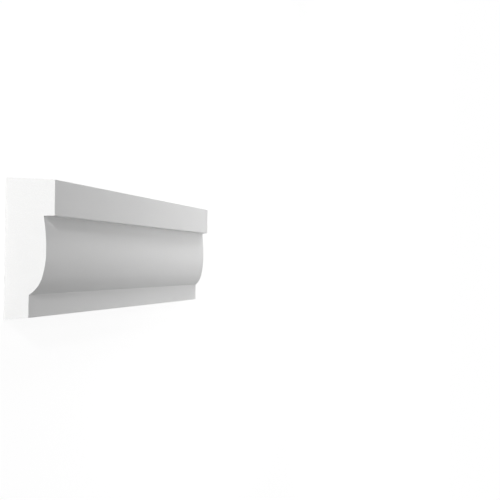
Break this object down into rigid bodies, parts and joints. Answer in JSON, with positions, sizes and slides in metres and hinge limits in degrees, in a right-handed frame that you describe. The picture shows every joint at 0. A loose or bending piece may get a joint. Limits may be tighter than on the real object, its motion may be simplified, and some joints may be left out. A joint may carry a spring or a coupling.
{
  "type": "wall moulding length",
  "caption": "Length of white wall moulding with a flat band, a stepped soffit, a swelling ovolo and a narrow foot, square cut at one end and mitred for an inside corner at the other.",
  "frame": {"origin": "middle of the back, on the surface that it lies on", "axes": "+X along the length towards the mitre, +Y up the wall towards the band, +Z out from the wall"},
  "size_m": [0.217, 0.06, 0.023],
  "materials": {
    "primed_white": "matte white primer on rigid polyurethane"
  },
  "bodies": {
    "root": {"moulding_length": "primed_white"}
  },
  "joints": []
}
